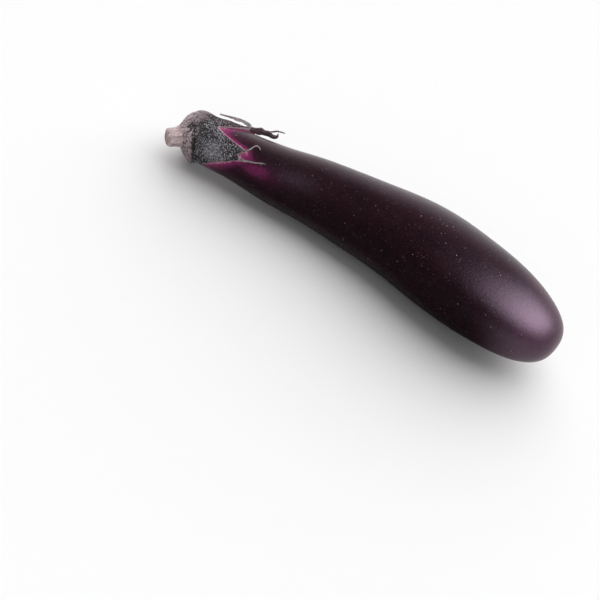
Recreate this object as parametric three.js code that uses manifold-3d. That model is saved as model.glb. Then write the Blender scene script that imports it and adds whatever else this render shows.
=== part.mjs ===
// A whole long eggplant as picked, lying on its side: a glossy dark purple fruit with a slight bend,
// the leafy calyx that caps its neck, and the short cut stem. Millimetres, +Z up.
// The stem points to -X and the blossom end to +X. The bend lies flat, hollow towards -Y.

import * as THREE from "three";
import { LoftGeometry } from "three/addons/geometries/LoftGeometry.js";
import { mergeVertices } from "three/addons/utils/BufferGeometryUtils.js";
import Module from "manifold-3d";

const wasm = await Module();
wasm.setup();

// Points of the bent axis, from the cut end of the stem to the blossom end. It bends mostly in plan,
// and rises a little towards the belly, so that the belly's underside is level where it rests.
const AXIS_POINTS = [
  [-126, -13.3, -7.4],
  [-114, -3.5, -6.9],
  [-92, -1, -6.2],
  [-66, -0.2, -5.3],
  [-40, 2.3, -4.5],
  [10, 0.3, -0.1],
  [55, -9, 3],
  [101.5, -18.5, 4],
];

// Distances along the axis, measured from the cut end of the stem
const STEM_END = 7.2;
const CALYX_START = 7.5;
const SHOULDER_TOP = 14.5;
const KNOB_UNTIL = 20;
const NECK_AT = 23;
const LEAF_FROM = 29;
const BELLY_AT = 165;

// Radii of the fruit at its neck, along its body and at its belly
const NECK_RADIUS = 11.7;
const BELLY_RADIUS = 25;
const BODY_STATIONS = [
  [NECK_AT, NECK_RADIUS],
  [62, 15.4],
  [114, 20.5],
  [BELLY_AT, BELLY_RADIUS],
];
const BLOSSOM_POWER = 2.4;
const BLOSSOM_ROOT = 0.385;
const FLAT_DEPTH = 0.6;

// The stem's outline and its low ribs
const STEM_STATIONS = [
  [0, 3],
  [0.35, 3.8],
  [0.9, 4.4],
  [1.8, 4.8],
  [3, 4.95],
  [5, 4.95],
  [STEM_END, 5.4],
];
const STEM_ROWS = [0, 0.15, 0.35, 0.9, 1.8, 3, 4.5, 6, STEM_END];
const STEM_RIBS = 5;
const STEM_RIB_SHARE = 0.03;

// The calyx: a swollen knob next to the stem, then a leaf of even thickness that lies on the fruit
const GAP = 0.3;
const LEAF = 0.9;
const KNOB_STATIONS = [
  [CALYX_START, 5.6],
  [8.3, 6.4],
  [9.3, 8.2],
  [11.5, 11.2],
  [14, 13.5],
  [16.5, 14.2],
  [20, 13.4],
  [NECK_AT, 12.9],
];
const KNOB_ROWS = [CALYX_START, 8.3, 9.3, 10.5, 12, 13.4, 14.8, 16.2, 17.6, 19.2, 21];
const SHOULDER_ROWS = [21, 18, 15.5, SHOULDER_TOP + 0.1];
const KNOB_TILT = 1;
const KNOB_LOW_SIDE = 128;
const LEAN_FADE = 3;
const VEIN_HEIGHT = 0.35;
const VEIN_WIDTH = 8;
const VEIN_FADE = 10;

// A crease slants over the knob on the side towards -Y, nearer to the stem at its top than lower down
const CREASE = { degrees: 50, spread: 52, top: 12, bottom: 13.4, depth: 0.7, length: 1.4 };

// The leaf that the curled strips grow from stands up a little
const LIFT = { degrees: -62, spread: 30, height: 0.8 };

// Its edge as [degrees round the axis, distance along it], notch and leaf tip by turns.
// Zero degrees is up, and 90 faces -Y. A flank with power 1 is straight, and a higher power hollows it.
const EDGE = [
  { notch: [-112, 27], rise: 1.7, tip: [-60, 43], fall: 1.5 },
  { notch: [-52, 38], rise: 1.2, tip: [-44, 40], fall: 0.85 },
  { notch: [-4, 26.5], rise: 1.8, tip: [28, 46], fall: 1.5 },
  { notch: [40, 42.5], rise: 1.2, tip: [48, 45], fall: 1.8 },
  { notch: [124, 26], rise: 1.7, tip: [160, 42], fall: 1.5 },
  { notch: [184, 36], rise: 1.5, tip: [208, 43], fall: 1.7 },
];

// The dry strips that the leaf tips end in: their widths at the root, in the middle and at the tip,
// how far they roll on edge in degrees, and points [distance, degrees, height over the fruit]
const STRIPS = [
  {
    // curls up and back over the calyx
    widths: [2.2, 3.2, 0.9],
    thickness: 0.8,
    roll: 65,
    path: [
      [34.5, -44, 0.85],
      [38, -45.5, 1.1],
      [39.8, -47, 2.2],
      [39, -48, 3.7],
      [36.5, -49, 4.4],
      [32, -50, 4.6],
      [27.5, -51, 4.2],
      [23, -52, 3.7],
    ],
  },
  {
    // runs on along the fruit and turns up at its end
    widths: [2.2, 3.3, 0.9],
    thickness: 0.9,
    roll: 75,
    path: [
      [36.5, -59, 0.9],
      [41, -56.5, 1.8],
      [45.5, -53.5, 2.7],
      [49.3, -52, 2.9],
      [52.3, -51, 2.5],
      [53.9, -50.5, 3.3],
      [54.1, -50.5, 5],
    ],
  },
  {
    // the torn upper half of the same tip, standing off the fruit
    widths: [1.8, 1.3, 0.8],
    thickness: 0.8,
    roll: 30,
    path: [
      [42, -58, 1.4],
      [47, -56, 3.2],
      [50.5, -55, 4.8],
      [53.5, -54.5, 6.1],
      [57, -54, 6.4],
    ],
  },
  {
    // hooks upwards across the fruit
    widths: [1.6, 1.2, 0.8],
    thickness: 0.7,
    roll: 0,
    path: [
      [40.5, 25, 0.8],
      [44.8, 26.5, 0.9],
      [46.3, 22, 1.1],
      [47.6, 15, 1.4],
      [49, 8.5, 1.5],
      [50.4, 8, 1.3],
      [51.8, 12, 0.9],
    ],
  },
  {
    // lies slanting along the front of the fruit
    widths: [2, 1.6, 0.9],
    thickness: 0.7,
    roll: 0,
    path: [
      [39.5, 51, 0.8],
      [44.5, 47, 0.85],
      [50, 42.5, 1],
      [54, 37.5, 1.05],
      [58, 32.5, 0.9],
    ],
  },
  {
    // lies under the front of the fruit
    widths: [2, 1.5, 0.8],
    thickness: 0.7,
    roll: 0,
    path: [
      [37, 160, 0.8],
      [42, 161, 0.85],
      [47.5, 165, 0.95],
      [52, 169, 1.15],
    ],
  },
  {
    // lies under the back of the fruit
    widths: [2, 1.5, 0.8],
    thickness: 0.7,
    roll: 0,
    path: [
      [38, 208, 0.8],
      [43, 209, 0.85],
      [48, 213, 0.95],
      [53.5, 215, 1.3],
    ],
  },
];

// How finely each piece is divided, round the axis and along it
const FRUIT_COLUMNS = 48;
const FRUIT_ROWS = 44;
const CALYX_COLUMNS = 90;
const LEAF_ROWS = 6;
const STEM_COLUMNS = 30;
const STRIP_STEPS = 12;
const POLE_CLEARANCE = 0.02;
const SAME_CORNER = 1e-3;

const axis = new THREE.CatmullRomCurve3(AXIS_POINTS.map((point) => new THREE.Vector3(...point)));
const AXIS_LENGTH = axis.getLength();

// A smooth curve through [place, size] stations, as a function that gives the size at a place.
function sizeThrough(stations) {
  const places = stations.map(([place]) => place);
  const sizes = stations.map(([, size]) => size);
  const curve = new THREE.CubicInterpolant(places, sizes, 1);
  curve.settings = { endingStart: THREE.ZeroCurvatureEnding, endingEnd: THREE.ZeroSlopeEnding };
  return (place) => curve.evaluate(place)[0];
}

const bodyRadius = sizeThrough(BODY_STATIONS);
const knobRadius = sizeThrough(KNOB_STATIONS);
const stemRadius = sizeThrough(STEM_STATIONS);

// The fruit's radius: a round shoulder under the calyx, the body, and a blunt blossom end.
function fruitRadius(along) {
  if (along < NECK_AT) {
    const share = (NECK_AT - along) / (NECK_AT - SHOULDER_TOP);
    return NECK_RADIUS * Math.sqrt(Math.max(0, 1 - share ** 2));
  }
  if (along < BELLY_AT) return bodyRadius(along);
  const share = Math.min(1, (along - BELLY_AT) / (AXIS_LENGTH - BELLY_AT));
  return BELLY_RADIUS * (1 - share ** BLOSSOM_POWER) ** BLOSSOM_ROOT;
}

// The direction square to the axis at a distance along it, turned by degrees from straight up.
function outward(along, degrees) {
  const tangent = axis.getTangentAt(THREE.MathUtils.clamp(along / AXIS_LENGTH, 0, 1));
  const up = new THREE.Vector3(0, 0, 1).addScaledVector(tangent, -tangent.z).normalize();
  return up.applyAxisAngle(tangent, THREE.MathUtils.degToRad(degrees));
}

// A point beside the axis, at a radius and an angle.
function beside(along, degrees, radius) {
  const centre = axis.getPointAt(THREE.MathUtils.clamp(along / AXIS_LENGTH, 0, 1));
  return centre.addScaledVector(outward(along, degrees), radius);
}

// A ring of points round the axis; placeAt gives the distance and radius at each angle.
function ring(columns, placeAt) {
  return Array.from({ length: columns }, (_, column) => {
    const degrees = (360 * column) / columns;
    const [along, radius] = placeAt(degrees);
    return beside(along, degrees, radius);
  });
}

// A skin through the sections, drawn in to a point in the middle of the first and of the last.
function skin(sections) {
  const drawnIn = (section) => {
    const sum = section.reduce((total, point) => total.add(point), new THREE.Vector3());
    return section.map(() => sum.clone().divideScalar(section.length));
  };
  return new LoftGeometry([drawnIn(sections[0]), ...sections, drawnIn(sections.at(-1))]);
}

// A geometry as a solid that can be cut and joined: shared corners, and no triangle without area.
function toSolid(geometry) {
  const bare = new THREE.BufferGeometry();
  bare.setAttribute("position", geometry.attributes.position);
  bare.setIndex(geometry.index);
  const merged = mergeVertices(bare, SAME_CORNER);
  const corners = [];
  for (let i = 0; i < merged.index.count; i += 3) {
    const triangle = [0, 1, 2].map((corner) => merged.index.getX(i + corner));
    if (new Set(triangle).size === 3) corners.push(...triangle);
  }
  return new wasm.Manifold(
    new wasm.Mesh({
      numProp: 3,
      vertProperties: new Float32Array(merged.attributes.position.array),
      triVerts: new Uint32Array(corners),
    }),
  );
}

function toGeometry(solid) {
  const mesh = solid.getMesh();
  const geometry = new THREE.BufferGeometry();
  geometry.setAttribute("position", new THREE.BufferAttribute(mesh.vertProperties, 3));
  geometry.setIndex(new THREE.BufferAttribute(mesh.triVerts, 1));
  geometry.computeVertexNormals();
  return geometry;
}

// The fruit's rings stand closer together towards both ends, where its outline turns fastest.
function fruitGeometry() {
  const first = SHOULDER_TOP + POLE_CLEARANCE;
  const last = AXIS_LENGTH - POLE_CLEARANCE;
  const rings = Array.from({ length: FRUIT_ROWS + 1 }, (_, row) => {
    const share = (1 - Math.cos((Math.PI * row) / FRUIT_ROWS)) / 2;
    const along = THREE.MathUtils.lerp(first, last, share);
    return ring(FRUIT_COLUMNS, () => [along, fruitRadius(along)]);
  });
  return skin(rings);
}

// The edge's corners in order, each with the power of the flank that follows it.
const CORNERS = EDGE.flatMap(({ notch, rise, tip, fall }) => [
  { degrees: notch[0], along: notch[1], power: rise, isTip: false },
  { degrees: tip[0], along: tip[1], power: fall, isTip: true },
]);

// How far along the axis the calyx reaches at an angle: leaf tips that taper, with notches between.
function edgeAt(degrees) {
  const first = CORNERS[0];
  const turned = first.degrees + THREE.MathUtils.euclideanModulo(degrees - first.degrees, 360);
  const corners = [...CORNERS, { ...first, degrees: first.degrees + 360 }];
  const next = corners.findIndex((corner) => corner.degrees > turned);
  const [from, to] = [corners[next - 1], corners[next]];
  const share = (turned - from.degrees) / (to.degrees - from.degrees);
  const [notch, tip] = from.isTip ? [to, from] : [from, to];
  const towardsTip = from.isTip ? 1 - share : share;
  return THREE.MathUtils.lerp(notch.along, tip.along, towardsTip ** from.power);
}

// An angle round the axis, turned to lie between -180 and 180 degrees.
function halfTurn(degrees) {
  return THREE.MathUtils.euclideanModulo(degrees + 180, 360) - 180;
}

// The angle between two directions round the axis, in degrees.
function apart(degrees, other) {
  return Math.abs(halfTurn(degrees - other));
}

// A rounded rib along the middle of each leaf, which rises out of the knob.
function veinAt(along, degrees) {
  const nearest = Math.min(...EDGE.map(({ tip }) => apart(degrees, tip[0])));
  const rise = THREE.MathUtils.smoothstep(along, NECK_AT - VEIN_FADE, NECK_AT);
  return VEIN_HEIGHT * rise * Math.exp(-((nearest / VEIN_WIDTH) ** 2));
}

// The depth of the crease, which fades out at its two ends.
function creaseAt(along, degrees) {
  const sideways = apart(degrees, CREASE.degrees) / CREASE.spread;
  const lower = THREE.MathUtils.smoothstep(halfTurn(degrees), 0, CREASE.degrees + CREASE.spread);
  const middle = THREE.MathUtils.lerp(CREASE.top, CREASE.bottom, lower);
  const forward = (along - middle) / CREASE.length;
  return CREASE.depth * Math.exp(-(forward ** 2) - sideways ** 4);
}

// How far one leaf stands up, beyond the knob.
function liftAt(along, degrees) {
  const beyondKnob = THREE.MathUtils.smoothstep(along, KNOB_UNTIL, LEAF_FROM);
  return LIFT.height * beyondKnob * Math.exp(-((apart(degrees, LIFT.degrees) / LIFT.spread) ** 2));
}

// The calyx's outside: the knob, which leans a little, passing over into a leaf that follows the fruit.
function calyxRadius(along, degrees) {
  const lean = KNOB_TILT * Math.cos(THREE.MathUtils.degToRad(degrees - KNOB_LOW_SIDE));
  const leaning = along + lean * THREE.MathUtils.smoothstep(along, CALYX_START, CALYX_START + LEAN_FADE);
  const knob = knobRadius(Math.min(leaning, NECK_AT));
  const leaf = fruitRadius(along) + GAP + LEAF;
  const blend = THREE.MathUtils.smoothstep(along, KNOB_UNTIL, LEAF_FROM);
  const plain = THREE.MathUtils.lerp(knob, leaf, blend) + liftAt(along, degrees);
  return plain + veinAt(along, degrees) - creaseAt(along, degrees);
}

// The cap is skinned from the stem over the knob to its lobed edge, then back along the fruit.
function calyxCap() {
  const lastKnob = KNOB_ROWS.at(-1);
  const leafShares = Array.from({ length: LEAF_ROWS }, (_, row) => (row + 1) / LEAF_ROWS);
  const insideShares = [...leafShares].reverse();
  const leafPlace = (degrees, share) => THREE.MathUtils.lerp(lastKnob, edgeAt(degrees), share);
  const outside = (along) => ring(CALYX_COLUMNS, (a) => [along, calyxRadius(along, a)]);
  const inside = (along) => ring(CALYX_COLUMNS, () => [along - GAP / 2, fruitRadius(along) + GAP]);
  const outsideLeaf = (share) =>
    ring(CALYX_COLUMNS, (a) => [leafPlace(a, share), calyxRadius(leafPlace(a, share), a)]);
  const insideLeaf = (share) =>
    ring(CALYX_COLUMNS, (a) => [leafPlace(a, share), fruitRadius(leafPlace(a, share)) + GAP]);
  return skin([
    ...KNOB_ROWS.map(outside),
    ...leafShares.map(outsideLeaf),
    ...insideShares.map(insideLeaf),
    ...SHOULDER_ROWS.map(inside),
  ]);
}

// A flat strip with six-sided sections, swept along its path, rolling on edge over its first third.
function stripGeometry({ widths, thickness, roll, path }) {
  const points = path.map(([along, degrees, height]) =>
    beside(along, degrees, fruitRadius(along) + height),
  );
  const curve = new THREE.CatmullRomCurve3(points);
  const frames = curve.computeFrenetFrames(STRIP_STEPS);
  const root = outward(path[0][0], path[0][1]);
  const turn = Math.atan2(root.dot(frames.binormals[0]), root.dot(frames.normals[0]));
  const widthAt = sizeThrough(widths.map((width, index) => [index / 2, width]));
  const outline = [
    [-0.5, 0],
    [-0.3, -0.5],
    [0.3, -0.5],
    [0.5, 0],
    [0.3, 0.5],
    [-0.3, 0.5],
  ];
  const sections = frames.tangents.map((tangent, step) => {
    const share = step / STRIP_STEPS;
    const rolled = THREE.MathUtils.degToRad(roll) * THREE.MathUtils.smoothstep(share, 0, 0.3);
    const thick = frames.normals[step].clone().applyAxisAngle(tangent, turn - rolled);
    const wide = new THREE.Vector3().crossVectors(thick, tangent);
    return outline.map(([w, t]) =>
      curve
        .getPointAt(share)
        .addScaledVector(wide, w * widthAt(share))
        .addScaledVector(thick, t * thickness),
    );
  });
  return skin(sections);
}

function calyxGeometry() {
  const strips = STRIPS.map((strip) => toSolid(stripGeometry(strip)));
  return toGeometry(strips.reduce((calyx, strip) => calyx.add(strip), toSolid(calyxCap())));
}

function stemGeometry() {
  const ribbed = (along, degrees) => {
    const wave = Math.cos(THREE.MathUtils.degToRad(STEM_RIBS * degrees));
    return stemRadius(along) * (1 + STEM_RIB_SHARE * wave);
  };
  const rings = STEM_ROWS.map((along) => ring(STEM_COLUMNS, (a) => [along, ribbed(along, a)]));
  return toGeometry(toSolid(skin(rings)));
}

// The fruit rests on a small flat spot, cut from the lowest part of its belly.
function seatedFruit(whole) {
  whole.computeBoundingBox();
  const box = whole.boundingBox;
  const size = box.getSize(new THREE.Vector3());
  const seat = box.min.z + FLAT_DEPTH;
  const below = new THREE.BoxGeometry(2 * size.x, 2 * size.y, size.z);
  below.translate(0, 0, seat - size.z / 2);
  return { geometry: toGeometry(toSolid(whole).subtract(toSolid(below))), seat };
}

const skinFinish = new THREE.MeshStandardMaterial({ color: 0x2a1420, roughness: 0.25, metalness: 0 });
const leafFinish = new THREE.MeshStandardMaterial({ color: 0x5c5358, roughness: 0.85, metalness: 0 });
const stemFinish = new THREE.MeshStandardMaterial({ color: 0xa38c8a, roughness: 0.8, metalness: 0 });

function piece(name, geometry, finish) {
  const mesh = new THREE.Mesh(geometry, finish);
  mesh.name = name;
  return mesh;
}

const { geometry: fruit, seat } = seatedFruit(fruitGeometry());
const lying = new THREE.Group();
lying.add(piece("fruit", fruit, skinFinish));
lying.add(piece("calyx", calyxGeometry(), leafFinish));
lying.add(piece("stem", stemGeometry(), stemFinish));

// The origin is under the middle of the whole eggplant, on the surface that it lies on.
const middle = new THREE.Box3().setFromObject(lying).getCenter(new THREE.Vector3());
lying.position.set(-middle.x, -middle.y, -seat);

const eggplant = new THREE.Group();
eggplant.add(lying);

export default eggplant;
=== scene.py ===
# %% [markdown]
# # A long eggplant, lying on its side
# This lesson dresses a measured model of one eggplant: the bent glossy fruit, the fuzzy calyx that
# caps its neck, the dry strips its leaf tips end in, and the short cut stem. The measured model has
# the right size and outline, so each piece here is made again from the same few dimensions with far
# more points, and then gets the unevenness, the colours and the gloss of the real thing.

import math

import bpy
import numpy as np
from mathutils import Matrix, Vector, noise


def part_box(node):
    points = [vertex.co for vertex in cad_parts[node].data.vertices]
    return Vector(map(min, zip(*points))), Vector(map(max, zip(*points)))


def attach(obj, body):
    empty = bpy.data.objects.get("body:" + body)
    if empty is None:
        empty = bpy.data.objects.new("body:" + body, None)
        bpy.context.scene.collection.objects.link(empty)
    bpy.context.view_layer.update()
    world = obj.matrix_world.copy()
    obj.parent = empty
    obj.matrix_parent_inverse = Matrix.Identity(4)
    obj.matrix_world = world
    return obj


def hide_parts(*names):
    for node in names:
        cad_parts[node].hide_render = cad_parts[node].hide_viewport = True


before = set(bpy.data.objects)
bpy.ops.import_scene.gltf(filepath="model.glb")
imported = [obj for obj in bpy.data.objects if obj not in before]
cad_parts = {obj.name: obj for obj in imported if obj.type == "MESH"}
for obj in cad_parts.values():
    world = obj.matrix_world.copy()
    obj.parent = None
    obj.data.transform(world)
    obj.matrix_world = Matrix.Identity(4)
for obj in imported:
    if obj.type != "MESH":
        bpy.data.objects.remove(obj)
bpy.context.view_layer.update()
MM = 0.001
print("measured solids:", sorted(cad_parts))

# %% [markdown]
# The picture looks down on the fruit from in front, with a long lens, and the camera leans sideways:
# in the photograph the fruit runs downhill because it is propped up, and here it lies flat, so the
# camera leans by the same angle instead. A camera's axes can be set directly as a matrix, which keeps
# the lean exact. One point on the fruit is pinned to its pixel, and the rest follows.

# %% Camera
PICTURE = 600
LENS, SENSOR, NEAREST = 100, 36, 0.01
AZIMUTH, ELEVATION, LEAN = (math.radians(angle) for angle in (7, 52, 24))
DISTANCE = 0.859
PINNED_POINT = Vector((0.0132, 0.0055, 0.0227))
PINNED_PIXEL = (392, 231)


def direction(azimuth, elevation):
    """The way out to a camera or lamp: azimuth turns from the front to the right."""
    return Vector((
        math.sin(azimuth) * math.cos(elevation),
        -math.cos(azimuth) * math.cos(elevation),
        math.sin(elevation),
    ))


away = direction(AZIMUTH, ELEVATION)
level_right = Vector((math.cos(AZIMUTH), math.sin(AZIMUTH), 0))
level_up = away.cross(level_right)
right = level_right * math.cos(LEAN) + level_up * math.sin(LEAN)
up = level_up * math.cos(LEAN) - level_right * math.sin(LEAN)
metres_per_pixel = DISTANCE * SENSOR / (LENS * PICTURE)
aside = (PINNED_PIXEL[0] - PICTURE / 2) * metres_per_pixel
above = (PICTURE / 2 - PINNED_PIXEL[1]) * metres_per_pixel

camera_data = bpy.data.cameras.new("camera")
camera_data.lens = LENS
camera_data.sensor_width = SENSOR
camera_data.clip_start = NEAREST
camera = bpy.data.objects.new("camera", camera_data)
camera.matrix_world = Matrix.Translation(
    PINNED_POINT + away * DISTANCE - right * aside - up * above
) @ Matrix((right, up, away)).transposed().to_4x4()
bpy.context.scene.collection.objects.link(camera)
bpy.context.scene.camera = camera
print("camera at", [round(value, 3) for value in camera.matrix_world.translation])

# %% [markdown]
# The fruit is built round a bent line, its axis. A smooth line through a handful of points is enough.
# Blender's own curve objects could do this, but a formula gives any point of it at once, for every
# piece. Distances run along the axis from the cut end of the stem, in millimetres, and angles run
# round it, with 0 straight up and 90 facing the hollow side of the bend.

# %% Axis
AXIS_POINTS = np.array([
    (-126, -13.3, -7.4),
    (-114, -3.5, -6.9),
    (-92, -1, -6.2),
    (-66, -0.2, -5.3),
    (-40, 2.3, -4.5),
    (10, 0.3, -0.1),
    (55, -9, 3),
    (101.5, -18.5, 4),
])


def eased_between(t, first, leave, second, arrive):
    """From a first value to a second, at a share t of the way, with a slope at each end."""
    start = (2 * t**3 - 3 * t**2 + 1) * first + (t**3 - 2 * t**2 + t) * leave
    return start + (3 * t**2 - 2 * t**3) * second + (t**3 - t**2) * arrive


def wire_through(points, steps=60):
    """Points of a smooth wire that passes through the given ones."""
    points = np.vstack([2 * points[0] - points[1], points, 2 * points[-1] - points[-2]])
    gaps = np.sqrt(np.linalg.norm(np.diff(points, axis=0), axis=1))
    t = np.linspace(0, 1, steps, endpoint=False)[:, None]
    spans = []
    for i in range(1, len(points) - 2):
        before, first, second, after = points[i - 1:i + 3]
        g0, g1, g2 = gaps[i - 1:i + 2]
        leave = g1 * ((first - before) / g0 - (second - before) / (g0 + g1) + (second - first) / g1)
        arrive = g1 * ((second - first) / g1 - (after - first) / (g1 + g2) + (after - second) / g2)
        spans.append(eased_between(t, first, leave, second, arrive))
    return np.vstack([*spans, points[-2:-1]])


def lengths_along(points):
    """How far along a line each of its points lies."""
    steps = np.linalg.norm(np.diff(points, axis=0), axis=1)
    return np.concatenate([[0], np.cumsum(steps)])


axis = wire_through(AXIS_POINTS)
axis_along = lengths_along(axis)
axis_length = axis_along[-1]
axis_ahead = np.gradient(axis, axis_along, axis=0)
place = Vector((0, 0, 0))


def outward(along, degrees):
    """The direction away from the axis at a distance along it and an angle round it."""
    ahead = np.stack([np.interp(along, axis_along, axis_ahead[:, k]) for k in range(3)], -1)
    ahead = ahead / np.linalg.norm(ahead, axis=-1, keepdims=True)
    upright = np.array([0, 0, 1]) - ahead * ahead[..., 2:]
    upright = upright / np.linalg.norm(upright, axis=-1, keepdims=True)
    angle = np.radians(degrees)[..., None]
    return upright * np.cos(angle) + np.cross(ahead, upright) * np.sin(angle)


def beside(along, degrees, radius):
    """Points in metres at distances along the axis, angles round it and radii from it."""
    along, degrees, radius = np.broadcast_arrays(along, degrees, radius)
    centre = np.stack([np.interp(along, axis_along, axis[:, k]) for k in range(3)], -1)
    return (centre + outward(along, degrees) * radius[..., None]) * MM + np.array(place)


print("axis length, mm:", round(axis_length, 1))

# %% [markdown]
# An eggplant is nearly round in section, so one radius at each distance describes it: a shoulder that
# hides under the calyx, a neck that swells to the belly, and a blunt blossom end. A few measured
# stations with a smooth curve between them keep the outline the same as the measured model's.

# %% Outline of the fruit
SHOULDER_TOP, NECK_AT, BELLY_AT = 14.5, 23, 165
NECK_RADIUS, BELLY_RADIUS = 11.7, 25
BODY_STATIONS = [(NECK_AT, NECK_RADIUS), (62, 15.4), (114, 20.5), (BELLY_AT, BELLY_RADIUS)]
BLOSSOM_POWER, BLOSSOM_ROOT = 2.4, 0.385
TURN_STEP, LENGTH_STEPS = 2.0, 400


def size_through(stations):
    """A function that gives the size at a place, smooth through [place, size] stations."""
    places, sizes = np.array(stations, float).T
    slopes = np.gradient(sizes, places)
    slopes[-1] = 0

    def size_at(place):
        i = np.clip(np.searchsorted(places, place, "right") - 1, 0, len(places) - 2)
        span = places[i + 1] - places[i]
        t = np.clip((place - places[i]) / span, 0, 1)
        return eased_between(t, sizes[i], span * slopes[i], sizes[i + 1], span * slopes[i + 1])

    return size_at


body_radius = size_through(BODY_STATIONS)


def fruit_radius(along):
    """The fruit's radius at a distance: shoulder, body or blossom end."""
    along = np.asarray(along, float)
    under = np.clip((NECK_AT - along) / (NECK_AT - SHOULDER_TOP), 0, 1)
    shoulder = NECK_RADIUS * np.sqrt(1 - under**2)
    beyond = np.clip((along - BELLY_AT) / (axis_length - BELLY_AT), 0, 1)
    blossom = BELLY_RADIUS * (1 - beyond**BLOSSOM_POWER) ** BLOSSOM_ROOT
    return np.where(along < NECK_AT, shoulder, np.where(along < BELLY_AT, body_radius(along), blossom))


whole_turn = np.arange(0, 360, TURN_STEP)
whole_length = np.linspace(SHOULDER_TOP, axis_length, LENGTH_STEPS)[:, None]
own_corner = beside(whole_length, whole_turn, fruit_radius(whole_length)).max(axis=(0, 1))
place = Vector(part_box("fruit")[1]) - Vector(own_corner)
print("set to the measured fruit's place, mm:", [round(value / MM, 2) for value in place])

# %% [markdown]
# Fruit, calyx, strips and stem all run along the axis or a path of their own, so one helper skins them
# over rings of points. Primitives with modifiers could be bent into shape, but rings follow the measured
# outline exactly. Another helper keeps a value at each point for a finish to read, and a third lets a
# piece move with the eggplant and hides the measured solid that it stands for.

# %% Mesh helpers
def ring_body(name, grid):
    """A closed body skinned over rings of points, with a point in the middle of each end."""
    rows, columns = grid.shape[:2]
    first, last = rows * columns, rows * columns + 1
    points = np.vstack([grid.reshape(-1, 3), grid[0].mean(0), grid[-1].mean(0)])
    faces = []
    for column in range(columns):
        beyond = (column + 1) % columns
        faces.append((first, beyond, column))
        end = (rows - 1) * columns
        faces.append((last, end + column, end + beyond))
        for row in range(0, end, columns):
            faces.append((row + column, row + beyond, row + columns + beyond, row + columns + column))
    mesh = bpy.data.meshes.new(name)
    mesh.from_pydata(points.tolist(), [], faces)
    mesh.shade_smooth()
    piece = bpy.data.objects.new(name, mesh)
    bpy.context.scene.collection.objects.link(piece)
    return piece


def store(piece, name, values):
    """Keeps one number, or one vector, for each point of a ring body."""
    values = np.asarray(values, float)
    size = 3 if values.ndim == 3 else 1
    flat = values.reshape(-1, size)
    flat = np.vstack([flat, values[0].reshape(-1, size).mean(0), values[-1].reshape(-1, size).mean(0)])
    kind, field = ("FLOAT_VECTOR", "vector") if size == 3 else ("FLOAT", "value")
    layer = piece.data.attributes.new(name, kind, "POINT")
    layer.data.foreach_set(field, flat.astype(np.float32).ravel())


def join(piece, slot, node=None):
    """Lets a piece move with the eggplant and hides the measured solid it stands for; slot is not used."""
    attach(piece, "root")
    if node:
        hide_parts(node)
    print(piece.name, len(piece.data.vertices), "points")


print("mesh helpers:", [helper.__name__ for helper in (ring_body, store, join)])

# %% [markdown]
# Nothing that grew is even. Unevenness comes from smooth noise that is fixed in space, so it is the same
# on every run. Patterns are measured as if the axis were straight, and so run round it without a seam.
# What changes from place to place is a soft patch or band: 1 in its middle, and fading to 0 further off.

# %% Noise and patches
def rough(points, scale, seed=0.0):
    """Smooth noise between about -1 and 1 at each point; scale is in waves per millimetre."""
    flat = np.asarray(points, float).reshape(-1, 3) * scale + seed
    return np.array([noise.noise(Vector(point)) for point in flat]).reshape(np.shape(points)[:-1])


def layered(points, layers):
    """Noise of several sizes together; each layer has a height, waves per millimetre and a seed."""
    return sum(height * rough(points, scale, seed) for height, scale, seed in layers)


def straightened(along, degrees, radius):
    """Where a point would lie if the axis were straight: a seamless place for patterns, in mm."""
    angle = np.radians(degrees)
    return np.stack(np.broadcast_arrays(along, radius * np.cos(angle), radius * np.sin(angle)), -1)


def ease(value, low, high):
    """A smooth step from 0 at the low value to 1 at the high one."""
    share = np.clip((value - low) / (high - low), 0, 1)
    return share * share * (3 - 2 * share)


def all_round(columns):
    """Even angles all the way round, as one row."""
    return np.arange(columns)[None, :] * 360 / columns


def half_turn(degrees):
    """The same angle between -180 and 180."""
    return (degrees + 180) % 360 - 180


def apart(degrees, other):
    """How far apart two angles are, at most 180 degrees."""
    return np.abs(half_turn(degrees - other))


def band(degrees, middle, width):
    """A soft band along the axis: 1 at its middle angle, fading on both sides."""
    return np.exp(-((apart(degrees, middle) / width) ** 2))


def patch(along, degrees, middle, reach):
    """A soft patch: 1 at its middle, fading over its reach. Both are [mm along, degrees round]."""
    forward = (along - middle[0]) / reach[0]
    sideways = apart(degrees, middle[1]) / reach[1]
    return np.exp(-(forward**2) - sideways**2)


def varied(base, changes, degrees):
    """A size that differs round the axis; each change has an angle, a width and an amount."""
    return base + sum(amount * band(degrees, angle, width) for angle, width, amount in changes)


print("noise at one place, the same on every run:", rough(np.array([[1.0, 2.0, 3.0]]), 0.3).round(4))

# %% [markdown]
# The calyx's edge decides where the pink skin starts, so it comes before the fruit. It is a row of
# corners, notch and leaf tip by turns, with flanks that hollow towards the tips. It could be drawn as a
# curve and projected, but a formula also gives its distance at any angle, which the colours need.

# %% Edge of the calyx
EDGE = [
    # notch angle and distance, power of the rising flank, tip angle and distance, power after it
    (-112, 27, 1.7, -60, 43, 1.5),
    (-52, 38, 1.2, -44, 40, 0.85),
    (-4, 26.5, 1.8, 28, 46, 1.5),
    (40, 42.5, 1.2, 48, 45, 1.8),
    (124, 26, 1.7, 160, 42, 1.5),
    (184, 36, 1.5, 208, 43, 1.7),
]
TIP_ANGLES = [corner[3] for corner in EDGE]


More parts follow.
